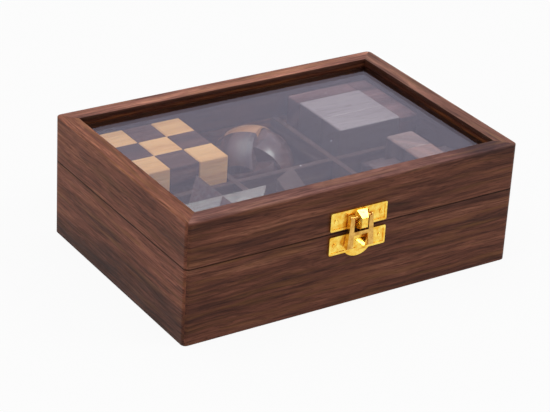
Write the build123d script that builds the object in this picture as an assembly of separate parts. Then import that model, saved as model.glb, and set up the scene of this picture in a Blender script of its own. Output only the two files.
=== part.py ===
"""Six wooden puzzles in a dark wooden case with a glazed, hinged lid and a brass hasp.

Millimetres, +Z up. The origin is the middle of the underside. X runs along the length,
the hasp is at the front (-Y) and the hinges are at the back (+Y).
"""
from build123d import *
import math
import os

os.makedirs("parts", exist_ok=True)

# Case
case_length = 175.0
case_depth = 120.0
case_height = 60.0
wall = 8.0
corner_radius = 2.5
base_height = 37.3
seam_gap = 0.3
top_edge_round = 0.5
bottom_edge_round = 0.5
floor_thickness = 4.0
floor_rebate = 4.0
joint_clearance = 0.1

# Dividers, which make six equal compartments
divider_thickness = 3.0
divider_groove = 2.0
divider_rise = 0.3
divider_shift_x = 0.6
divider_lid_gap = 0.4

# Glass and its moulding
glass_thickness = 2.5
glass_drop = 3.3
glass_groove = 3.0
glass_clearance = 0.1
bead_width = 1.2
bead_height = 1.2
bead_round = 0.9

# Nails
nail_radius = 0.45
nail_length = 5.0
nail_head_radius = 1.1
nail_head_height = 0.5
nail_clearance = 0.02

# Hinges
hinge_offset = 45.0
leaf_length = 20.0
leaf_height = 8.0
leaf_thickness = 0.8
leaf_nail_spacing = 12.0
leaf_nail_edge = 2.6
hinge_knuckle_radius = 1.5
hinge_pin_radius = 0.8
hinge_end_knuckle = 6.0
hinge_pin_proud = 0.3
knuckle_gap = 0.2
knuckle_clearance = 0.1
press_clearance = 0.02
running_clearance = 0.05

# Latch
latch_plate_width = 30.0
latch_plate_height = 9.1
latch_plate_thickness = 1.0
latch_plate_corner = 0.8
latch_border = 1.0
latch_border_height = 0.4
latch_nail_inset = 3.0
latch_plate_gap = 1.2
lug_radius = 8.5
lug_drop = 2.8
nub_base = 6.2
nub_top = 0.8
nub_height = 2.7
nub_shift_x = 2.0
nub_shift_z = -2.2
loop_width = 6.2
loop_shift_x = 0.7
loop_taper = 1.5
loop_depth = 3.8
loop_height = 8.6
loop_top_gap = 0.5
loop_slope = 3.0
loop_lower_round = 0.8
loop_wall = 0.9
hasp_pin_radius = 0.6
hasp_pin_below_edge = 3.6
hasp_pin_proud = 0.3
hasp_length = 14.7
hasp_depth = 2.3
hasp_sheet = 0.8
hasp_top_width = 11.8
hasp_bottom_width = 14.2
hasp_slot_width = 7.8
hasp_bar_top = 6.8
hasp_bar_height = 1.7
hasp_clearance = 0.15

# Room round the puzzles: play under the closed glass, and finger room beside them
puzzle_play = 4.9
puzzle_finger_room = 5.0
piece_clearance = 0.05

# Snake cube
snake_gap = 0.1
snake_chamfer = 0.4
snake_left_gap = 6.1
snake_front_gap = 2.8
elastic_radius = 0.9
elastic_clearance = 0.3
elastic_bend = 4.5
elastic_end = 4.5

# Ball puzzle, a six-piece burr turned round
ball_unit_share = 0.4
ball_radius = 20.8
ball_shift_x = 1.5
ball_shift_y = 3.5
ball_turn = (-6.2, -18.4, -49.1)

# Block cube
block_side_gap = 0.9
block_front_gap = 3.1
block_border = 10.6
block_seam = 14.5
block_step_down = 0.8
block_chamfer = 0.4

# Star puzzle
star_shift_x = 2.75
star_shift_y = -2.0

# Mitred bars
bars_below_top = 2.7
bar_length = 28.0
bar_turn = -15.0
bar_top_shift_x = -15.0
bar_top_shift_y = -4.0
bar_pile_shift_x = -3.2
bar_pile_shift_y = -2.7
bar_chamfer = 0.3

# Six-piece burr
burr_side_gap = 0.3
burr_shift_y = 1.1
burr_chamfer = 0.6

half_length = case_length / 2
half_depth = case_depth / 2
inner_length = case_length - 2 * wall
inner_depth = case_depth - 2 * wall
room_length = (inner_length - 2 * divider_thickness) / 3
room_depth = (inner_depth - divider_thickness) / 2
divider_offset = (room_length + divider_thickness) / 2
divider_places = (divider_shift_x - divider_offset, divider_shift_x + divider_offset)
lid_bottom = base_height + seam_gap
glass_top = case_height - glass_drop
glass_bottom = glass_top - glass_thickness
room_height = glass_bottom - floor_thickness
puzzle_size = min(room_height - puzzle_play, room_length - puzzle_finger_room, room_depth - puzzle_finger_room)
front_room_y = -(room_depth + divider_thickness) / 2
back_room_y = -front_room_y
side_room_x = room_length + divider_thickness
hinge_y = half_depth + knuckle_clearance + hinge_knuckle_radius
hinge_z = base_height + seam_gap / 2
plate_front = -half_depth - latch_plate_thickness
plate_field = plate_front + latch_border_height
plate_lid_bottom = lid_bottom + latch_plate_gap
plate_lid_top = plate_lid_bottom + latch_plate_height
plate_base_top = base_height - latch_plate_gap
plate_base_bottom = plate_base_top - latch_plate_height
hasp_y = plate_front - hasp_clearance - hasp_depth / 2
hasp_z = plate_lid_top - hasp_pin_below_edge
snake_cube = (puzzle_size - 2 * snake_gap) / 3
star_reach = puzzle_size / 2
burr_half_bar = puzzle_size / 6
bar_side = (puzzle_size - bars_below_top) / 4
block_plate = puzzle_size - block_border


def box_between(low, high):
    """A box from its lowest corner to its highest corner."""
    size = [high[i] - low[i] for i in range(3)]
    middle = [(high[i] + low[i]) / 2 for i in range(3)]
    return Pos(*middle) * Box(*size)


def rod(x_low, x_high, y, z, radius):
    """A round bar that lies along X."""
    return Pos((x_low + x_high) / 2, y, z) * Rot(0, 90, 0) * Cylinder(radius, x_high - x_low)


def frame_of(length, depth, thickness, radius, low, high):
    """A rectangular ring of the given wall thickness, with rounded outer corners."""
    outline = RectangleRounded(length, depth, radius) if radius else Rectangle(length, depth)
    ring = outline - Rectangle(length - 2 * thickness, depth - 2 * thickness)
    return Pos(0, 0, low) * extrude(ring, high - low)


def mitre_wedge(side):
    """The space on one side of the case between the two 45 degree corner cuts."""
    outer = wall
    inner = 2 * wall
    low_x, high_x = half_length - inner, half_length + outer
    low_y, high_y = half_depth - inner, half_depth + outer
    corners = {
        "front": [(-high_x, -high_y), (high_x, -high_y), (low_x, -low_y), (-low_x, -low_y)],
        "back": [(-high_x, high_y), (-low_x, low_y), (low_x, low_y), (high_x, high_y)],
        "left": [(-high_x, -high_y), (-low_x, -low_y), (-low_x, low_y), (-high_x, high_y)],
        "right": [(high_x, -high_y), (high_x, high_y), (low_x, low_y), (low_x, -low_y)],
    }[side]
    outline = make_face(Polyline(*corners, close=True))
    return extrude(outline, case_height)


def base_ring():
    """The four base panels as one ring, with the floor's rebate and the dividers' grooves."""
    ring = frame_of(case_length, case_depth, wall, corner_radius, 0, base_height)
    underside = ring.faces().sort_by(Axis.Z)[0]
    ring = fillet(underside.outer_wire().edges(), bottom_edge_round)
    ring -= floor_space(0)
    groove = divider_thickness + 2 * joint_clearance
    reach_x = inner_length / 2 + divider_groove
    reach_y = inner_depth / 2 + divider_groove
    ring -= box_between((-reach_x, -groove / 2, floor_thickness), (reach_x, groove / 2, base_height))
    for x in divider_places:
        ring -= box_between((x - groove / 2, -reach_y, floor_thickness), (x + groove / 2, reach_y, base_height))
    return ring


def floor_space(clearance):
    """The floor panel, smaller all round by the clearance."""
    x = inner_length / 2 + floor_rebate - clearance
    y = inner_depth / 2 + floor_rebate - clearance
    return box_between((-x, -y, 0), (x, y, floor_thickness))


def long_divider():
    """The divider along X, with a slot from above at each cross divider."""
    x = inner_length / 2 + divider_groove - joint_clearance
    inside = inner_length / 2 - divider_lid_gap
    half = divider_thickness / 2
    divider = box_between((-x, -half, floor_thickness), (x, half, base_height))
    divider += box_between((-inside, -half, floor_thickness), (inside, half, base_height + divider_rise))
    lap = (floor_thickness + base_height) / 2
    slot = half + joint_clearance
    for centre in divider_places:
        divider -= box_between((centre - slot, -wall, lap), (centre + slot, wall, case_height))
    return divider


def cross_divider(centre):
    """A divider along Y, with a slot from below that laps over the long divider."""
    y = inner_depth / 2 + divider_groove - joint_clearance
    inside = inner_depth / 2 - divider_lid_gap
    half = divider_thickness / 2
    divider = box_between((centre - half, -y, floor_thickness), (centre + half, y, base_height))
    divider += box_between((centre - half, -inside, floor_thickness), (centre + half, inside, base_height + divider_rise))
    lap = (floor_thickness + base_height) / 2
    slot = half + joint_clearance
    return divider - box_between((centre - wall, -slot, 0), (centre + wall, slot, lap))


def lid_ring():
    """The four lid rails as one ring, with the groove that holds the glass."""
    ring = frame_of(case_length, case_depth, wall, corner_radius, lid_bottom, case_height)
    rim = ring.faces().sort_by(Axis.Z)[-1]
    ring = fillet(rim.outer_wire().edges(), top_edge_round)
    x = inner_length / 2 + glass_groove
    y = inner_depth / 2 + glass_groove
    low = glass_bottom - glass_clearance
    high = glass_top + glass_clearance
    return ring - box_between((-x, -y, low), (x, y, high))


def glass_pane():
    """The pane, which stands in the rails' groove with clearance all round."""
    x = inner_length / 2 + glass_groove - glass_clearance
    y = inner_depth / 2 + glass_groove - glass_clearance
    return box_between((-x, -y, glass_bottom), (x, y, glass_top))


def bead_ring():
    """The moulding on the glass, against the rails, with its upper inner edge rounded."""
    ring = frame_of(inner_length, inner_depth, bead_width, 0, glass_top, glass_top + bead_height)
    top = ring.faces().sort_by(Axis.Z)[-1]
    return fillet(top.inner_wires()[0].edges(), bead_round)


def nail():
    """A brass nail with a low domed head. Its head stands on the plane z = 0."""
    head = Pos(0, 0, nail_head_height / 2) * Cylinder(nail_head_radius, nail_head_height)
    head = fillet(head.edges().sort_by(Axis.Z)[-1], nail_head_height * 0.8)
    return head + Pos(0, 0, -nail_length / 2) * Cylinder(nail_radius, nail_length)


def nail_hole():
    """The hole of one nail, from in front of its head to the end of its shank."""
    radius = nail_radius + nail_clearance
    return Pos(0, 0, -nail_length / 2) * Cylinder(radius, nail_length)


def latch_nails(plate_bottom):
    """Where the two nails of a latch plate go: in its sunk field, facing the front."""
    z = plate_bottom + latch_plate_height / 2
    x = latch_plate_width / 2 - latch_nail_inset
    return [Pos(side * x, plate_field, z) * Rot(90, 0, 0) for side in (-1, 1)]


def hinge_nails(direction):
    """Where the nails of the leaves go, below (-1) or above (+1) the hinges' axis."""
    y = half_depth + leaf_thickness
    z = hinge_z + direction * (leaf_height - leaf_nail_edge)
    half = leaf_nail_spacing / 2
    xs = [centre + side * half for centre in (-hinge_offset, hinge_offset) for side in (-1, 1)]
    return [Pos(x, y, z) * Rot(-90, 0, 0) for x in xs]


def base_nail_places():
    """All nails of the base."""
    return latch_nails(plate_base_bottom) + hinge_nails(-1)


def lid_nail_places():
    """All nails of the lid."""
    return latch_nails(plate_lid_bottom) + hinge_nails(1)


def drilled(shape, places):
    """The shape with a hole for each nail."""
    for place in places:
        shape -= place * nail_hole()
    return shape


def hinge_leaf(centre, direction):
    """One leaf, below (-1) or above (+1) the axis. The lower one has the two outer knuckles."""
    half = leaf_length / 2
    edge_z = hinge_z + direction * leaf_height
    start_z = hinge_z + direction * seam_gap / 2
    low_z, high_z = sorted((edge_z, start_z))
    back = half_depth + leaf_thickness
    leaf = box_between((centre - half, half_depth, low_z), (centre + half, back, high_z))
    outer = [(centre - half, centre - half + hinge_end_knuckle), (centre + half - hinge_end_knuckle, centre + half)]
    inner_half = half - hinge_end_knuckle - knuckle_gap
    inner = [(centre - inner_half, centre + inner_half)]
    own, other = (outer, inner) if direction < 0 else (inner, outer)
    for low, high in other:
        cut = hinge_knuckle_radius + knuckle_clearance
        leaf -= rod(low - knuckle_gap, high + knuckle_gap, hinge_y, hinge_z, cut)
    for low, high in own:
        leaf += rod(low, high, hinge_y, hinge_z, hinge_knuckle_radius)
    clearance = press_clearance if direction < 0 else running_clearance
    return leaf - rod(centre - leaf_length, centre + leaf_length, hinge_y, hinge_z, hinge_pin_radius + clearance)


def hinge_pin(centre):
    """The pin through the three knuckles."""
    half = leaf_length / 2 + hinge_pin_proud
    return rod(centre - half, centre + half, hinge_y, hinge_z, hinge_pin_radius)


def latch_plate(bottom):
    """A brass plate with rounded corners and a raised border."""
    half = latch_plate_width / 2
    top = bottom + latch_plate_height
    plate = box_between((-half, plate_front, bottom), (half, -half_depth, top))
    plate = fillet(plate.edges().filter_by(Axis.Y), latch_plate_corner)
    low = (-half + latch_border, plate_front, bottom + latch_border)
    high = (half - latch_border, plate_field, top - latch_border)
    return plate - box_between(low, high)


def side_profile(corners, half_width):
    """A solid along X from its outline, seen from the side as (y, z) corners."""
    seen_from_left = Plane(origin=(-half_width, 0, 0), x_dir=(0, 1, 0), z_dir=(1, 0, 0))
    return extrude(seen_from_left * make_face(Polyline(*corners, close=True)), 2 * half_width)


def lid_plate():
    """The upper plate, with the folded loop that the hasp's pin goes through."""
    half = loop_width / 2
    front = plate_front - loop_depth
    top = plate_lid_top - loop_top_gap
    bottom = top - loop_height
    low_front = (front, bottom + loop_lower_round)
    outline = [(plate_field, top), (front + loop_slope, top), (front, top - loop_slope), low_front]
    outline += [(front + loop_lower_round, bottom), (plate_field, bottom)]
    loop = side_profile(outline, half)
    plan = [(-half, plate_field), (half, plate_field), (half - loop_taper, front), (-half + loop_taper, front)]
    loop &= extrude(make_face(Polyline(*plan, close=True)), case_height)
    hollow_top = hasp_z - hasp_pin_radius - loop_wall
    hollow = [(plate_front, hollow_top), (front + loop_wall, hollow_top)]
    hollow += [(front + loop_wall, bottom + loop_wall), (plate_front, bottom + loop_wall)]
    loop -= side_profile(hollow, half)
    plate = latch_plate(plate_lid_bottom) + Pos(loop_shift_x, 0, 0) * loop
    bore = latch_plate_width / 2
    return plate - rod(-bore, bore, hasp_y, hasp_z, hasp_pin_radius + press_clearance)


def base_plate():
    """The lower plate, with a half-round lug below and the nub between the hasp's legs."""
    plate = latch_plate(plate_base_bottom)
    lug_z = plate_base_bottom + lug_radius - lug_drop
    middle_y = (plate_front - half_depth) / 2
    disc = Pos(0, middle_y, lug_z) * Rot(90, 0, 0) * Cylinder(lug_radius, latch_plate_thickness)
    below = box_between((-lug_radius, plate_front, 0), (lug_radius, -half_depth, plate_base_bottom))
    nub_z = plate_base_bottom + latch_plate_height / 2 + nub_shift_z
    slope = math.degrees(math.atan2((nub_base - nub_top) / 2, nub_height))
    nub = extrude(Rectangle(nub_base, nub_base), nub_height, taper=slope)
    nub = Pos(nub_shift_x, plate_field, nub_z) * Rot(90, 0, 0) * nub
    return plate + (disc & below) + nub


def hasp_outline():
    """The hasp from the front: two legs that spread downwards, joined by a bar."""
    top = hasp_top_width / 2
    bottom = hasp_bottom_width / 2
    bar_bottom = hasp_bar_top + hasp_bar_height
    shape = make_face(Polyline((-top, 0), (top, 0), (bottom, -hasp_length), (-bottom, -hasp_length), close=True))
    shape -= Pos(0, -hasp_bar_top / 2) * Rectangle(hasp_slot_width, hasp_bar_top)
    return shape - Pos(0, -(hasp_length + bar_bottom) / 2) * Rectangle(hasp_slot_width, hasp_length - bar_bottom)


def hasp():
    """The hasp: a stamped sheet whose two outer edges are folded back and hang on the pin."""
    front = Plane(origin=(0, hasp_y - hasp_depth / 2, hasp_z), x_dir=(1, 0, 0), z_dir=(0, -1, 0))
    top = hasp_top_width / 2
    bottom = hasp_bottom_width / 2
    body = extrude(front * hasp_outline(), -hasp_sheet)
    for side in (-1, 1):
        inner_top = side * (top - hasp_sheet)
        inner_bottom = side * (bottom - hasp_sheet)
        corners = [(side * top, 0), (side * bottom, -hasp_length), (inner_bottom, -hasp_length), (inner_top, 0)]
        body += extrude(front * make_face(Polyline(*corners, close=True)), -hasp_depth)
        low, high = sorted((inner_top, side * top))
        body += rod(low, high, hasp_y, hasp_z, hasp_depth / 2)
    return body - rod(-bottom, bottom, hasp_y, hasp_z, hasp_pin_radius + running_clearance)


def hasp_pin():
    """The pin of the hasp."""
    half = hasp_top_width / 2 + hasp_pin_proud
    return rod(-half, half, hasp_y, hasp_z, hasp_pin_radius)


def snake_cells():
    """The 27 cells in the order of the snake: along X, back along X, then up a layer."""
    cells = []
    for layer in range(3):
        rows = range(3) if layer % 2 == 0 else range(2, -1, -1)
        for row in rows:
            forward = (layer + row) % 2 == 0
            columns = range(3) if forward else range(2, -1, -1)
            cells += [(column, row, layer) for column in columns]
    return cells


def snake_centre(cell):
    """The middle of one cube of the snake."""
    pitch = snake_cube + snake_gap
    left_cube = -inner_length / 2 + snake_left_gap + snake_cube / 2
    front_cube = divider_thickness / 2 + snake_front_gap + snake_cube / 2
    x = left_cube + cell[0] * pitch
    y = front_cube + cell[1] * pitch
    z = floor_thickness + snake_cube / 2 + cell[2] * pitch
    return Vector(x, y, z)


def snake_route():
    """The elastic's path: through every cube in turn, bent inside the corner cubes."""
    points = [snake_centre(cell) for cell in snake_cells()]
    points[0] += (points[0] - points[1]).normalized() * elastic_end
    points[-1] += (points[-1] - points[-2]).normalized() * elastic_end
    corners = [points[0]]
    for i in range(1, len(points) - 1):
        before = (points[i] - points[i - 1]).normalized()
        after = (points[i + 1] - points[i]).normalized()
        if before.dot(after) < 0.5:
            corners.append(points[i])
    corners.append(points[-1])
    return FilletPolyline(*corners, radius=elastic_bend)


def snake_tube(radius):
    """A round tube of the given radius along the elastic's path."""
    path = snake_route()
    start = Plane(origin=path @ 0, z_dir=path % 0)
    return sweep(start * Circle(radius), path=path)


def snake_cubes(parity, bore):
    """Every second cube of the snake, bored for the elastic."""
    cubes = []
    for cell in snake_cells():
        if sum(cell) % 2 == parity:
            cube = Box(snake_cube, snake_cube, snake_cube)
            cube = chamfer(cube.edges(), snake_chamfer)
            cubes.append((Pos(snake_centre(cell)) * cube) - bore)
    return Compound(children=cubes)


def block_piece(low, high):
    """One block of the block cube, between two corners counted from its own corner."""
    gap = piece_clearance
    x = inner_length / 2 - block_side_gap - puzzle_size
    y = divider_thickness / 2 + block_front_gap
    block = box_between([c + gap for c in low], [c - gap for c in high])
    block = chamfer(block.edges(), block_chamfer)
    return Pos(x, y, floor_thickness - gap) * block


def block_pieces():
    """Six blocks: two below, two plates on top, and two lower ones beside and behind them."""
    full, plate, seam, half = puzzle_size, block_plate, block_seam, puzzle_size / 2
    low_top = full - block_step_down
    return {
        "block_lower_front": block_piece((0, 0, 0), (full, full / 2, half)),
        "block_lower_back": block_piece((0, full / 2, 0), (full, full, half)),
        "block_plate_front": block_piece((0, 0, half), (plate, seam, full)),
        "block_plate_back": block_piece((0, seam, half), (plate, plate, full)),
        "block_side": block_piece((plate, 0, half), (full, full, low_top)),
        "block_rear": block_piece((0, plate, half), (plate, full, low_top)),
    }


def diamond_prism(half_diagonal, length):
    """A square bar on edge along Z."""
    return extrude(Rot(0, 0, 45) * Rectangle(half_diagonal * math.sqrt(2), half_diagonal * math.sqrt(2)), length / 2, both=True)


def star_stick():
    """One stick of the star: a square bar on edge along X with pointed ends and two notches."""
    reach = star_reach
    far = 4 * reach
    bar = Pos(0, 0, reach / 2) * Rot(0, 90, 0) * diamond_prism(reach / 2 - piece_clearance, far)
    bar &= diamond_prism(reach, far)
    for side in (-1, 1):
        bar -= Pos(side * reach / 2, 0, 0) * Rot(90, 0, 0) * diamond_prism(reach / 2 + piece_clearance, far)
    return bar


def burr_stick():
    """One stick of the burr: a square bar along X with a wide notch on its inner side."""
    unit = burr_half_bar
    gap = piece_clearance
    bar = box_between((-3 * unit, -unit + gap, gap), (3 * unit, unit - gap, 2 * unit - gap))
    bar = chamfer(bar.edges(), burr_chamfer)
    notch = 2 * unit + gap
    return bar - box_between((-notch, -unit, 0), (notch, unit, unit + gap))


def ball_stick():
    """One stick of the ball puzzle: a burr stick whose outer faces are turned round."""
    unit = ball_radius * ball_unit_share
    gap = piece_clearance
    bar = box_between((-ball_radius, -unit + gap, gap), (ball_radius, unit - gap, 2 * unit - gap))
    notch = 2 * unit + gap
    bar -= box_between((-notch, -unit, 0), (notch, unit, unit + gap))
    return bar & Sphere(ball_radius)


def crossed_sticks(stick, name, centre, turn=(0, 0, 0)):
    """Six copies of a stick in three crossing pairs, along X, Y and Z, all turned together."""
    pieces = {}
    diagonal = Axis((0, 0, 0), (1, 1, 1))
    for third, along in enumerate("xyz"):
        for half, flip in (("a", 0), ("b", 180)):
            piece = stick.rotate(Axis.X, flip).rotate(diagonal, 120 * third)
            pieces[f"{name}_{along}_{half}"] = Pos(centre) * Rot(*turn) * piece
    return pieces


def mitred_bar():
    """A square bar along X whose two ends are cut at 45 degrees towards each other."""
    side = bar_side / 2
    long_half = bar_length / 2 + side
    short_half = bar_length / 2 - side
    corners = [(-long_half, side), (long_half, side), (short_half, -side), (-short_half, -side)]
    bar = extrude(make_face(Polyline(*corners, close=True)), bar_side)
    return chamfer(bar.edges(), bar_chamfer)


def bar_pieces():
    """Four mitred bars, laid crosswise on one another."""
    pile = (bar_pile_shift_x, front_room_y + bar_pile_shift_y)
    top = (bar_top_shift_x, front_room_y + bar_top_shift_y)
    quarter = 90
    layers = {
        "bars_bottom": (pile, bar_turn),
        "bars_lower": (pile, bar_turn + quarter),
        "bars_upper": (pile, bar_turn),
        "bars_top": (top, bar_turn - quarter),
    }
    pieces = {}
    for level, (name, ((x, y), turn)) in enumerate(layers.items()):
        pieces[name] = Pos(x, y, floor_thickness + level * bar_side) * Rot(0, 0, turn) * mitred_bar()
    return pieces


def case_pieces():
    """The base, the lid, the hinges and their nails."""
    pieces = {}
    base = drilled(base_ring(), base_nail_places())
    lid = drilled(lid_ring(), lid_nail_places())
    beads = bead_ring()
    for side in ("front", "back", "left", "right"):
        wedge = mitre_wedge(side)
        pieces[f"base_panel_{side}"] = base & wedge
        pieces[f"lid_rail_{side}"] = lid & wedge
        pieces[f"glass_bead_{side}"] = beads & wedge
    pieces["floor_panel"] = floor_space(joint_clearance)
    pieces["divider_long"] = long_divider()
    pieces["divider_left"] = cross_divider(divider_places[0])
    pieces["divider_right"] = cross_divider(divider_places[1])
    pieces["glass_pane"] = glass_pane()
    for side, centre in (("left", -hinge_offset), ("right", hinge_offset)):
        pieces[f"hinge_leaf_base_{side}"] = drilled(hinge_leaf(centre, -1), base_nail_places())
        pieces[f"hinge_leaf_lid_{side}"] = drilled(hinge_leaf(centre, 1), lid_nail_places())
        pieces[f"hinge_pin_{side}"] = hinge_pin(centre)
    pieces["nails_base"] = Compound(children=[place * nail() for place in base_nail_places()])
    pieces["nails_lid"] = Compound(children=[place * nail() for place in lid_nail_places()])
    return pieces


def latch_pieces():
    """The brass latch at the front."""
    return {
        "latch_plate_lid": drilled(lid_plate(), lid_nail_places()),
        "latch_plate_base": drilled(base_plate(), base_nail_places()),
        "hasp": hasp(),
        "hasp_pin": hasp_pin(),
    }


def puzzle_pieces():
    """The six puzzles."""
    bore = snake_tube(elastic_radius + elastic_clearance)
    pieces = {
        "snake_cubes_light": snake_cubes(0, bore),
        "snake_cubes_dark": snake_cubes(1, bore),
        "snake_elastic": snake_tube(elastic_radius),
    }
    ball_centre = (ball_shift_x, back_room_y + ball_shift_y, floor_thickness + ball_radius)
    pieces.update(crossed_sticks(ball_stick(), "ball", ball_centre, ball_turn))
    pieces.update(block_pieces())
    star_centre = (-side_room_x + star_shift_x, front_room_y + star_shift_y, floor_thickness + star_reach)
    pieces.update(crossed_sticks(star_stick(), "star", star_centre))
    pieces.update(bar_pieces())
    burr_x = inner_length / 2 - burr_side_gap - puzzle_size / 2
    burr_centre = (burr_x, front_room_y + burr_shift_y, floor_thickness + puzzle_size / 2)
    pieces.update(crossed_sticks(burr_stick(), "burr", burr_centre))
    return pieces


for node, shape in {**case_pieces(), **latch_pieces(), **puzzle_pieces()}.items():
    export_step(shape, f"parts/{node}.step")
    print(node, len(shape.solids()), round(shape.volume, 1))
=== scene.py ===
"""A case of six wooden puzzles: dark sheesham wood, a glazed hinged lid and a brass hasp.

Metres, +Z up. The hasp is at the front (-Y) and the hinges are at the back (+Y). Only the
patterns of wood are drawn in millimetres.
"""
import math
import bpy
from mathutils import Matrix, Vector

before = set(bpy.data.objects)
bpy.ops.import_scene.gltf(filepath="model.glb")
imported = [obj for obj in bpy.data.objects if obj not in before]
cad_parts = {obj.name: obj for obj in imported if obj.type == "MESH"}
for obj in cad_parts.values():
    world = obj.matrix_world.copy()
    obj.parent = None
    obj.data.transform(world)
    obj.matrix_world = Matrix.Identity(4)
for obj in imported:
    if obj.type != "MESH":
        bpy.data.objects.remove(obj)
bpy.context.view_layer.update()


# ---------------------------------------------------------------- base of the case
# Four boards of sheesham, an open-pored Indian rosewood, mitred at the corners and
# sanded, then rubbed with oil to a satin. The grain runs along each board.

def colour(hex_code):
    """The linear colour of an sRGB hex value."""
    shown = [int(hex_code[i:i + 2], 16) / 255 for i in (1, 3, 5)]
    linear = [c / 12.92 if c <= 0.04045 else ((c + 0.055) / 1.055) ** 2.4 for c in shown]
    return (*linear, 1.0)


def node(tree, kind, inputs=(), **settings):
    """Adds a node with its settings. An input is a value, or the socket it is linked from."""
    new = tree.nodes.new(kind)
    for key, value in settings.items():
        setattr(new, key, value)
    for key, value in dict(inputs).items():
        if isinstance(value, bpy.types.NodeSocket):
            tree.links.new(value, new.inputs[key])
        else:
            new.inputs[key].default_value = value
    return new


def material(name):
    """A new material, with its node tree and its shader."""
    made = bpy.data.materials.new(name)
    made.use_nodes = True
    return made, made.node_tree, made.node_tree.nodes["Principled BSDF"]


def figure(tree, place, long, wide, detail, roughness=0.5):
    """Noise whose spots are long by wide millimetres, along and across the grain."""
    size = (1 / long, 1 / wide, 1 / wide)
    spots = node(tree, "ShaderNodeVectorMath", {0: place, 1: size}, operation="MULTIPLY")
    inputs = {"Vector": spots.outputs[0], "Scale": 1.0, "Detail": detail, "Roughness": roughness}
    return node(tree, "ShaderNodeTexNoise", inputs)


def shaded(tree, tone, place, seam, top, foot, recess_shade):
    """The tone of a board after the marks that depend on where on the case it is, among them painted
    light and painted shade.

    Seam is the strength of the dark line where lid and base meet. Top is a height and how much paler
    red, green and blue are painted from 0.4 mm below it upwards: painted light on top faces. Foot is
    the share of the tone left at the board's foot. The last share darkens the faces inside the rails
    with painted shade, for the shade in the recess.
    """
    height = node(tree, "ShaderNodeSeparateXYZ", {0: place}).outputs[2]
    # Painted light: from 0.4 mm below the given height upwards, faces are painted paler, as if lit
    # from above.
    if top:
        top_height, *lift = top
        starts, full = top_height - 0.0009, top_height - 0.0004
        painted_light_mask = node(tree, "ShaderNodeMapRange", {0: height, 1: starts, 2: full, 3: 0.0, 4: 1.0})
        paler = node(tree, "ShaderNodeVectorMath", {0: tone, 1: lift}, operation="MULTIPLY")
        inputs = {0: painted_light_mask.outputs[0], 6: tone, 7: paler.outputs[0]}
        tone = node(tree, "ShaderNodeMix", inputs, data_type="RGBA").outputs[2]
    if seam:
        seam_height = 0.03745
        off = node(tree, "ShaderNodeMath", {0: height, 1: seam_height}, operation="SUBTRACT")
        apart = node(tree, "ShaderNodeMath", {0: off.outputs[0]}, operation="ABSOLUTE")
        core, edge = 0.0003, 0.0006
        inputs = {0: apart.outputs[0], 1: core, 2: edge, 3: seam, 4: 0.0}
        line = node(tree, "ShaderNodeMapRange", inputs)
        inputs = {0: line.outputs[0], 6: tone, 7: colour("#140604")}
        tone = node(tree, "ShaderNodeMix", inputs, data_type="RGBA").outputs[2]
    if foot != 1.0:
        reach, above = 0.018, 1.1  # metres up the board, and the share of the tone from there
        shade = node(tree, "ShaderNodeMapRange", {0: height, 1: 0.0, 2: reach, 3: foot, 4: above})
        inputs = {0: tone, "Scale": shade.outputs[0]}
        tone = node(tree, "ShaderNodeVectorMath", inputs, operation="SCALE").outputs[0]
    # Painted shade: faces inside the rails are darkened towards #2a1108, for the shade that falls in
    # the recess.
    if recess_shade:
        hollow = (0.07955, 0.05205, 1)  # half the space between the rails
        inside = node(tree, "ShaderNodeVectorMath", {0: place}, operation="ABSOLUTE").outputs[0]
        room = node(tree, "ShaderNodeVectorMath", {0: hollow, 1: inside}, operation="SUBTRACT")
        room = node(tree, "ShaderNodeSeparateXYZ", {0: room.outputs[0]}).outputs
        least = node(tree, "ShaderNodeMath", {0: room[0], 1: room[1]}, operation="MINIMUM")
        inner = node(tree, "ShaderNodeMath", {0: least.outputs[0], 1: 0.0}, operation="GREATER_THAN")
        depth = node(tree, "ShaderNodeMath", {0: inner.outputs[0], 1: recess_shade}, operation="MULTIPLY")
        inputs = {0: depth.outputs[0], 6: tone, 7: colour("#2a1108")}
        tone = node(tree, "ShaderNodeMix", inputs, data_type="RGBA").outputs[2]
    return tone


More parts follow.
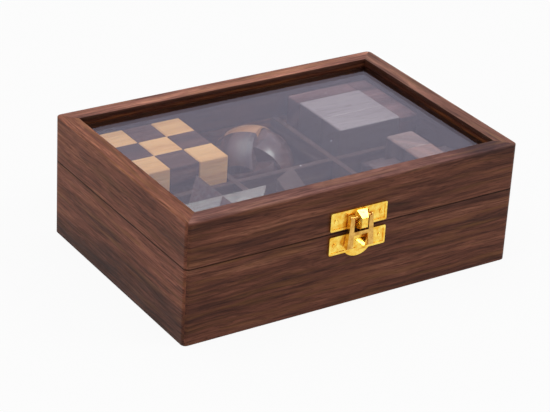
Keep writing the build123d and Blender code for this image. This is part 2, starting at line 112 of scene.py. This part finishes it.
def wood(name, along, shift, tones, band=6.0, streak=0.3, pore=0.45, gold=0.0, vein=0.0,
         gloss=0.5, shine=0.12, seam=0.0, top=None, foot=1.0, recess_shade=0.0):
    """Planed wood, its grain along X, Y or Z, cut from a log whose heart is shifted in mm.

    Tones run from the darkest growth ring to the palest, and a ring is band mm wide. Fibres
    lighten and darken it by the share streak. Pore, vein and gold are the strengths of dark
    pores, long dark veins and golden patches. Gloss is the roughness and shine the specular
    level. The rest is told in shaded.
    """
    made, tree, shader = material(name)
    turn = {"X": (0, 0, 0), "Y": (0, 0, -math.pi / 2), "Z": (0, math.pi / 2, 0)}[along]
    place = node(tree, "ShaderNodeTexCoord").outputs["Object"]
    inputs = {0: place, 1: shift, 2: turn, 3: (1000, 1000, 1000)}
    millimetres = node(tree, "ShaderNodeMapping", inputs).outputs[0]

    # The grain sways by up to 2.4 mm each way.
    sway = (0, 4.8, 4.8)
    drift = figure(tree, millimetres, 45, 14, 3.0, 0.45).outputs[1]
    centred = node(tree, "ShaderNodeVectorMath", {0: drift, 1: (0.5, 0.5, 0.5)}, operation="SUBTRACT")
    warp = node(tree, "ShaderNodeVectorMath", {0: centred.outputs[0], 1: sway}, operation="MULTIPLY")
    grain = node(tree, "ShaderNodeVectorMath", {0: millimetres, 1: warp.outputs[0]}).outputs[0]

    # Growth rings round the heart. The log tapers, so they change slowly along it.
    taper = (0.03, 1, 1)
    ring_size = (1 / band, 1 / 110, 0)
    across = node(tree, "ShaderNodeVectorMath", {0: grain, 1: taper}, operation="MULTIPLY").outputs[0]
    ring = node(tree, "ShaderNodeVectorMath", {0: across}, operation="LENGTH").outputs["Value"]
    run = node(tree, "ShaderNodeSeparateXYZ", {0: grain}).outputs[0]
    rings = node(tree, "ShaderNodeCombineXYZ", {0: ring, 1: run}).outputs[0]
    rings = node(tree, "ShaderNodeVectorMath", {0: rings, 1: ring_size}, operation="MULTIPLY")
    inputs = {"Vector": rings.outputs[0], "Scale": 1.0, "Detail": 5.0, "Roughness": 0.7}
    bands = node(tree, "ShaderNodeTexNoise", inputs, noise_dimensions="2D")
    ramp = node(tree, "ShaderNodeValToRGB", {0: bands.outputs[0]})
    darkest, palest = 0.28, 0.72
    stops = ramp.color_ramp.elements
    while len(stops) < len(tones):
        stops.new(0.5)
    for i, tone in enumerate(tones):
        stops[i].position = darkest + (palest - darkest) * i / (len(tones) - 1)
        stops[i].color = colour(tone)

    # Fibres, pores filled with oil and dust, dark veins and golden patches. Real fibres and
    # pores are less than half as wide, and are drawn coarser so that they show. Two numbers
    # such as 0.58 and 0.70 are the noise where a mark starts and where it is full.
    fibres = figure(tree, grain, 18, 0.8, 3.0, 0.65).outputs[0]
    inputs = {0: fibres, 1: 0.3, 2: 0.7, 3: 1 - streak, 4: 1 + streak}
    light = node(tree, "ShaderNodeMapRange", inputs)
    inputs = {0: ramp.outputs[0], "Scale": light.outputs[0]}
    tone = node(tree, "ShaderNodeVectorMath", inputs, operation="SCALE").outputs[0]
    cells = figure(tree, grain, 6, 0.35, 1.0).outputs[0]
    pores = node(tree, "ShaderNodeMapRange", {0: cells, 1: 0.58, 2: 0.70, 3: 0.0, 4: pore}).outputs[0]
    inputs = {0: pores, 6: tone, 7: colour("#1c0f0c")}
    tone = node(tree, "ShaderNodeMix", inputs, data_type="RGBA").outputs[2]
    lines = figure(tree, grain, 60, 1.1, 2.0).outputs[0]
    dark = node(tree, "ShaderNodeMapRange", {0: lines, 1: 0.54, 2: 0.64, 3: 0.0, 4: vein})
    inputs = {0: dark.outputs[0], 6: tone, 7: colour("#2a130d")}
    tone = node(tree, "ShaderNodeMix", inputs, data_type="RGBA").outputs[2]
    glow = figure(tree, grain, 45, 3.0, 3.0).outputs[0]
    warm = node(tree, "ShaderNodeMapRange", {0: glow, 1: 0.5, 2: 0.72, 3: 0.0, 4: gold})
    inputs = {0: warm.outputs[0], 6: tone, 7: colour("#7d5430")}
    tone = node(tree, "ShaderNodeMix", inputs, data_type="RGBA").outputs[2]
    tone = shaded(tree, tone, place, seam, top, foot, recess_shade)

    # Pale fibres are a little glossier, and pores are sunk by hundredths of a millimetre.
    inputs = {0: fibres, 1: 0.35, 2: 0.65, 3: gloss + 0.08, 4: gloss - 0.05}
    dull = node(tree, "ShaderNodeMapRange", inputs)
    sunk = node(tree, "ShaderNodeMath", {0: fibres, 1: pores}, operation="SUBTRACT")
    inputs = {"Strength": 0.35, "Distance": 0.00006, "Height": sunk.outputs[0]}
    relief = node(tree, "ShaderNodeBump", inputs)
    shader.inputs["Specular IOR Level"].default_value = shine
    tree.links.new(tone, shader.inputs["Base Color"])
    tree.links.new(dull.outputs[0], shader.inputs["Roughness"])
    tree.links.new(relief.outputs[0], shader.inputs["Normal"])
    return made


def dress(names, finish, ease=0.0):
    """Puts a finish on CAD nodes, and eases their sharp edges by so many millimetres."""
    for name in names:
        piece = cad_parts[name]
        piece.data.materials.clear()
        piece.data.materials.append(finish)
        if ease:
            weld = piece.modifiers.new("closed", "WELD")
            weld.merge_threshold = 0.00001
            bevel = piece.modifiers.new("sanded_edges", "BEVEL")
            bevel.width = ease / 1000
            bevel.segments = 2
            bevel.limit_method = "ANGLE"
            bevel.angle_limit = math.radians(35)
            flat = piece.modifiers.new("flat_faces", "WEIGHTED_NORMAL")
            flat.keep_sharp = True


# Oiled sheesham: red brown with darker veins and golden patches, and only a faint sheen. The
# left board darkens towards its foot.
long_tones = ("#3c221b", "#573226", "#6b4031", "#855642")
side_tones = ("#43241a", "#623728", "#764534", "#8f5a42")
boards = {
    "front": ("X", (20, 48, 30), long_tones, 1.0),
    "back": ("X", (90, -38, -35), long_tones, 1.0),
    "left": ("Y", (-40, 44, 55), side_tones, 0.3),
    "right": ("Y", (35, 60, -42), side_tones, 1.0),
}
for side, (along, shift, tones, foot) in boards.items():
    board = wood(f"oiled_sheesham_base_{side}", along, shift, tones,
                 gold=0.45, streak=0.4, vein=0.45, seam=0.55, foot=foot)
    dress([f"base_panel_{side}"], board, ease=0.3)


# ---------------------------------------------------------------- floor and dividers
# The floor is stained plywood in a rebate. Three thin sheesham strips stand in grooves
# and lap where they cross, which makes six compartments.

# Stained plywood: flat and dull, with broad, weak figure.
ply = wood("stained_plywood", "X", (0, 30, 400), ("#4a3226", "#5c4032", "#6b4c3c"),
           band=7, pore=0.2, gloss=0.6)
dress(["floor_panel"], ply)

# Thin sheesham: greyer than the case, and calm.
strip_tones = ("#432f29", "#573e37", "#6b5247")
strips = {"long": ("X", (0, 36, 22)), "left": ("Y", (9, 52, 18)), "right": ("Y", (70, 33, 41))}
for name, (along, shift) in strips.items():
    strip = wood(f"sheesham_divider_{name}", along, shift, strip_tones, streak=0.2)
    dress([f"divider_{name}"], strip, ease=0.2)


# ---------------------------------------------------------------- lid
# Four mitred sheesham rails, sawn off the same boards as the base, and four dark
# quarter-round beads glued on the glass inside them.

# Oiled sheesham. The top of the rim is painted paler by these shares of red, green and blue, as
# painted light: most at the back, where the rim catches the most light. Inside the rails it is
# darkened nearly to black with painted shade.
rim_height = 0.0599
rim_painted_light = {
    "front": (1.35, 1.6, 2.05),
    "back": (2.4, 2.8, 3.1),
    "left": (1.35, 1.45, 1.4),
    "right": (1.4, 1.85, 2.2),
}
# The beads are stained dark. Their palest rings show as thin, golden-brown lines.
bead_tones = ("#1d0c06", "#3a190c", "#663a1a")
for side, (along, (x, y, z), tones, _) in boards.items():
    sawn_off = (x + 50, y, z - 6)  # 50 mm along the board from the base's piece, 6 mm across
    # Painted light on the top of the rim, and painted shade inside the rails.
    rail = wood(f"oiled_sheesham_lid_{side}", along, sawn_off, tones, gold=0.3, streak=0.4,
                vein=0.45, recess_shade=0.8, seam=0.55, top=(rim_height, *rim_painted_light[side]))
    dress([f"lid_rail_{side}"], rail, ease=0.25)
    bead = wood(f"sheesham_bead_{side}", along, (y, 20, 37), bead_tones, shine=0.05)
    dress([f"glass_bead_{side}"], bead, ease=0.15)


# ---------------------------------------------------------------- pane
# The lid's window: a pane of clear float glass with a little dust on it. It stands loose in
# a groove of the rails, under the beads, and light falls through it on to the puzzles.

# Clear glass: it mirrors the walls, which clouds all that lies under it.
glass, tree, shader = material("clear_float_glass")
shader.inputs["Base Color"].default_value = colour("#f4faf8")
shader.inputs["Roughness"].default_value = 0.0
shader.inputs["IOR"].default_value = 1.5
shader.inputs["Transmission Weight"].default_value = 1.0

# Dust: white specks in three tenths of cells 13 mm wide. Real dust is finer than 0.7 mm, and
# is drawn as coarse as it needs to show.
cells_per_metre = 75.0
speck_radius = 0.025
speck_share = 0.3
place = node(tree, "ShaderNodeTexCoord").outputs["Object"]
cells = node(tree, "ShaderNodeTexVoronoi", {"Vector": place, "Scale": cells_per_metre}).outputs
speck = node(tree, "ShaderNodeMath", {0: cells["Distance"], 1: speck_radius}, operation="LESS_THAN")
draw = node(tree, "ShaderNodeSeparateXYZ", {0: cells["Color"]}).outputs[0]
chosen = node(tree, "ShaderNodeMath", {0: draw, 1: speck_share}, operation="LESS_THAN")
inputs = {0: speck.outputs[0], 1: chosen.outputs[0]}
grains = node(tree, "ShaderNodeMath", inputs, operation="MULTIPLY")
dust = node(tree, "ShaderNodeBsdfDiffuse", {0: colour("#f2f2f6")})
inputs = {0: grains.outputs[0], 1: shader.outputs[0], 2: dust.outputs[0]}
dusty = node(tree, "ShaderNodeMixShader", inputs)

clear = node(tree, "ShaderNodeBsdfTransparent", {0: colour("#eef4f2")})
shadow_ray = node(tree, "ShaderNodeLightPath").outputs["Is Shadow Ray"]
lit = node(tree, "ShaderNodeMixShader", {0: shadow_ray, 1: dusty.outputs[0], 2: clear.outputs[0]})
tree.links.new(lit.outputs[0], tree.nodes["Material Output"].inputs[0])
dress(["glass_pane"], glass)


# ---------------------------------------------------------------- brass
# Latch plates, hasp and hinge leaves pressed from sheet brass, and turned pins. Each plate
# and leaf is nailed on with two domed brass nails.

def metal(name, dark, bright, rough):
    """A pressed metal whose tone and sheen vary a little over smudges of 2 mm."""
    made, tree, shader = material(name)
    shader.inputs["Metallic"].default_value = 1.0
    place = node(tree, "ShaderNodeTexCoord").outputs["Object"]
    smudges_per_metre = 450.0
    inputs = {"Vector": place, "Scale": smudges_per_metre, "Detail": 4.0, "Roughness": 0.6}
    smudge = node(tree, "ShaderNodeTexNoise", inputs).outputs[0]
    even = node(tree, "ShaderNodeMapRange", {0: smudge, 1: 0.35, 2: 0.65, 3: 0.0, 4: 1.0}).outputs[0]
    inputs = {0: even, 6: colour(dark), 7: colour(bright)}
    tone = node(tree, "ShaderNodeMix", inputs, data_type="RGBA")
    rub = node(tree, "ShaderNodeMapRange", {0: even, 1: 0.0, 2: 1.0, 3: rough, 4: rough + 0.12})
    press = node(tree, "ShaderNodeBump", {"Strength": 0.2, "Distance": 0.00008, "Height": smudge})
    tree.links.new(tone.outputs[2], shader.inputs["Base Color"])
    tree.links.new(rub.outputs[0], shader.inputs["Roughness"])
    tree.links.new(press.outputs[0], shader.inputs["Normal"])
    return made


# Polished brass is a bright yellow and mirrors the room softly. The hasp is rubbed browner by
# fingers.
fittings = [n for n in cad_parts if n.startswith(("hinge_", "latch_", "nails_"))]
dress(fittings, metal("polished_brass", "#eeb23a", "#ffe272", 0.18), ease=0.12)
dress(["hasp", "hasp_pin"], metal("rubbed_brass", "#c08c40", "#e8b964", 0.22), ease=0.12)


# ---------------------------------------------------------------- snake cube
# 27 sawn and sanded cubes, every other one of pale haldu wood, folded into one cube. They
# are bored and threaded on an elastic, which holds them together.

# Haldu: an even, warm yellow with hardly any figure. Sheesham: dark, with soft rings.
haldu_tones = ("#d69a64", "#e2a86f", "#ecb67e")
dark_tones = ("#35201c", "#4c2f28", "#5e3d34", "#744e42")
haldu = wood("haldu_cubes", "X", (0, 30, 55), haldu_tones, band=4, pore=0.12, streak=0.1)
dress(["snake_cubes_light"], haldu, ease=0.2)
dress(["snake_cubes_dark"], wood("sheesham_cubes", "X", (30, 44, 25), dark_tones), ease=0.2)

# Covered elastic: dull white yarn in slanting ribs 1 mm apart, hidden in the cubes.
elastic, tree, shader = material("covered_elastic")
shader.inputs["Roughness"].default_value = 0.8
place = node(tree, "ShaderNodeTexCoord").outputs["Object"]
inputs = {"Vector": place, "Scale": 600.0, "Distortion": 1.0}
braid = node(tree, "ShaderNodeTexWave", inputs, bands_direction="DIAGONAL").outputs[1]
inputs = {0: braid, 6: colour("#c8c4b8"), 7: colour("#f2efe6")}
yarn = node(tree, "ShaderNodeMix", inputs, data_type="RGBA")
knit = node(tree, "ShaderNodeBump", {"Strength": 0.6, "Distance": 0.0002, "Height": braid})
tree.links.new(yarn.outputs[2], shader.inputs["Base Color"])
tree.links.new(knit.outputs[0], shader.inputs["Normal"])
dress(["snake_elastic"], elastic)


# ---------------------------------------------------------------- ball puzzle
# Six notched sticks turned to a ball on a lathe, which lies askew in its compartment. The
# hindmost of the sticks that point upwards is of a tan wood, the others are of sheesham.

# Both woods are polished, so each lamp leaves a spot of light on the ball.
tan_tones = ("#a06a45", "#b07a52", "#bd8960")
tan = wood("tan_ball_z_a", "Z", (15, 35, 28), tan_tones,
           band=4, pore=0.1, streak=0.1, gloss=0.3, shine=0.4)
dress(["ball_z_a"], tan)
for axis, half in ("xa", "xb", "ya", "yb", "zb"):
    stick = wood(f"sheesham_ball_{axis}_{half}", axis.upper(), (15, 25, 44), dark_tones,
                 streak=0.15, gloss=0.2, shine=0.9)
    dress([f"ball_{axis}_{half}"], stick)


# ---------------------------------------------------------------- block cube
# Six sawn sheesham blocks packed into a cube, which only its compartment holds. Two of them
# are thick plates that lie on top.

def top_of(name):
    """The height of a CAD piece's top face."""
    return max(corner[2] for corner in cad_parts[name].bound_box)


# Dull sheesham whose top faces and eased top edges are painted paler, as painted light from above,
# and two plates polished to a grey sheen, whose tops also carry a painted reflection of the pale
# room.
for i, name in enumerate(("block_lower_front", "block_lower_back", "block_side", "block_rear")):
    block = wood(f"sheesham_{name}", "X", (20 * i, 40, 25 + i), dark_tones,
                 streak=0.12, pore=0.15, shine=0.05, top=(top_of(name), 1.9, 2.3, 2.9))
    dress([name], block, ease=0.25)
plate_tones = ("#4a3a37", "#50403d", "#564642")
for i, name in enumerate(("block_plate_front", "block_plate_back")):
    plate = wood(f"polished_{name}", "X", (25 * i, 37, 60), plate_tones, pore=0.05,
                 streak=0.05, gloss=0.3, shine=0.3, top=(top_of(name), 3.7, 4.4, 4.9))
    dress([name], plate, ease=0.25)


# ---------------------------------------------------------------- star, bars and burr
# Notched sheesham sticks: six pointed ones make the star, six square ones the burr, and
# four mitred bars lie crosswise.

# The star is polished and dark. The burr's top faces are painted paler, as painted light from above,
# and those of its two upright sticks most, by these shares of red, green and blue.
burr_tones = ("#42302b", "#4c3832", "#563f38")
painted_end_light = {"z_a": (3.3, 3.6, 3.9), "z_b": (3.8, 3.5, 3.4)}
for axis in "xyz":
    for i, half in enumerate("ab"):
        end = f"{axis}_{half}"
        star = wood(f"sheesham_star_{end}", axis.upper(), (15 * i, 30 + 5 * i, 42), dark_tones,
                    gloss=0.25, shine=0.5)
        dress([f"star_{end}"], star, ease=0.2)
        lift = painted_end_light.get(end, (1.5, 1.5, 1.6))
        burr = wood(f"sheesham_burr_{end}", axis.upper(), (25 * i, 44, 33 - 6 * i), burr_tones,
                    streak=0.1, pore=0.15, gloss=0.3, shine=0.2, top=(top_of(f"burr_{end}"), *lift))
        dress([f"burr_{end}"], burr, ease=0.2)

# The bars are a little paler than the star, with calm fibres.
bar_tones = ("#4a3631", "#5c4640", "#6c544c")
for i, name in enumerate(("bars_bottom", "bars_lower", "bars_upper", "bars_top")):
    bar = wood(f"sheesham_{name}", "Y" if i % 2 else "X", (10 * i, 28, 37 + 4 * i), bar_tones,
               streak=0.15)
    dress([name], bar, ease=0.2)


# ---------------------------------------------------------------- table, light and camera
# A white table in a studio: a wide softbox overhead, a fill from the left and a small bright
# key at the front right. The walls are a pale violet grey, whose reflection clouds the glass.

def seen(tree):
    """A socket that is 1 for what the camera sees, directly, in a mirror or through glass."""
    rays = node(tree, "ShaderNodeLightPath").outputs
    inputs = {0: rays["Is Camera Ray"], 1: rays["Is Glossy Ray"]}
    either = node(tree, "ShaderNodeMath", inputs, operation="MAXIMUM").outputs[0]
    inputs = {0: either, 1: rays["Is Transmission Ray"]}
    return node(tree, "ShaderNodeMath", inputs, operation="MAXIMUM").outputs[0]


far = 6  # past every edge of the picture
corners = [(-far, -far, 0), (far, -far, 0), (far, far, 0), (-far, far, 0)]
table_mesh = bpy.data.meshes.new("table")
table_mesh.from_pydata(corners, [], [(0, 1, 2, 3)])
table = bpy.data.objects.new("table", table_mesh)
bpy.context.scene.collection.objects.link(table)

# White paper: nearly as white as the background, with a faint shadow.
whiteness = 0.93
paper, tree, shader = material("white_paper")
tree.nodes.remove(shader)
share = node(tree, "ShaderNodeMath", {0: seen(tree), 1: whiteness}, operation="MULTIPLY")
matt = node(tree, "ShaderNodeBsdfDiffuse", {0: colour("#c8c8c8")})
white = node(tree, "ShaderNodeEmission", {0: (1, 1, 1, 1), 1: 1.0})
inputs = {0: share.outputs[0], 1: matt.outputs[0], 2: white.outputs[0]}
blend = node(tree, "ShaderNodeMixShader", inputs)
tree.links.new(blend.outputs[0], tree.nodes["Material Output"].inputs[0])
table_mesh.materials.append(paper)

# The walls are white near the horizon, where they make the background.
world = bpy.data.worlds.new("studio")
bpy.context.scene.world = world
world.use_nodes = True
tree = world.node_tree
direction = node(tree, "ShaderNodeTexCoord").outputs["Generated"]
height = node(tree, "ShaderNodeSeparateXYZ", {0: direction}).outputs[2]
violet_grey = (0.66, 0.62, 0.8, 1)
wall = node(tree, "ShaderNodeValToRGB", {0: height})
wall.color_ramp.elements[0].position = 0.15
wall.color_ramp.elements[0].color = (1, 1, 1, 1)
wall.color_ramp.elements[1].position = 0.4
wall.color_ramp.elements[1].color = violet_grey
backdrop = node(tree, "ShaderNodeBackground", {0: wall.outputs[0], 1: 1.0})
room = node(tree, "ShaderNodeBackground", {0: (0.97, 0.98, 1.0, 1), 1: 0.6})
walls = node(tree, "ShaderNodeMixShader", {0: seen(tree), 1: room.outputs[0], 2: backdrop.outputs[0]})
tree.links.new(walls.outputs[0], tree.nodes["World Output"].inputs[0])


def softbox(name, place, target, size, brightness):
    """A square lamp of that brightness, where 1 is white paper, facing its target."""
    lamp = bpy.data.lights.new(name, "AREA")
    lamp.shape = "RECTANGLE"
    lamp.size = lamp.size_y = size
    lamp.energy = brightness * math.pi * size * size
    lamp.color = (1, 0.99, 0.97)  # a little warmer than the walls
    holder = bpy.data.objects.new(name, lamp)
    bpy.context.scene.collection.objects.link(holder)
    holder.location = place
    holder.rotation_euler = (Vector(target) - Vector(place)).to_track_quat("-Z", "Y").to_euler()


softbox("softbox_overhead", (-0.25, 0.15, 1.3), (0, 0, 0), size=1.1, brightness=1.6)
softbox("fill_left", (-1.3, -0.1, 0.6), (0, 0, 0.03), size=0.9, brightness=0.8)
softbox("key_front_right", (0.65, -0.6, 0.96), (0, 0, 0.03), size=0.4, brightness=8.0)

# The camera stands at the front left, above the case, as the case's corners show. It looks 34
# degrees to the right of straight back and 27 degrees down, and is tipped by 3 degrees.
standpoint = (-0.49167, -0.72377, 0.46851)
camera = bpy.data.cameras.new("camera")
camera.lens = 137.98
camera.sensor_width = 36.0
camera.sensor_fit = "HORIZONTAL"
viewer = bpy.data.objects.new("camera", camera)
bpy.context.scene.collection.objects.link(viewer)
ahead = Vector((0.49742752, 0.73804891, -0.45590532))
rightward = Vector((0.84288357, -0.53550516, 0.05274007))
upward = rightward.cross(ahead)
turned = Matrix((rightward, upward, -ahead)).transposed().to_4x4()
viewer.matrix_world = Matrix.Translation(standpoint) @ turned
bpy.context.scene.camera = viewer
bpy.context.scene.view_settings.view_transform = "Standard"
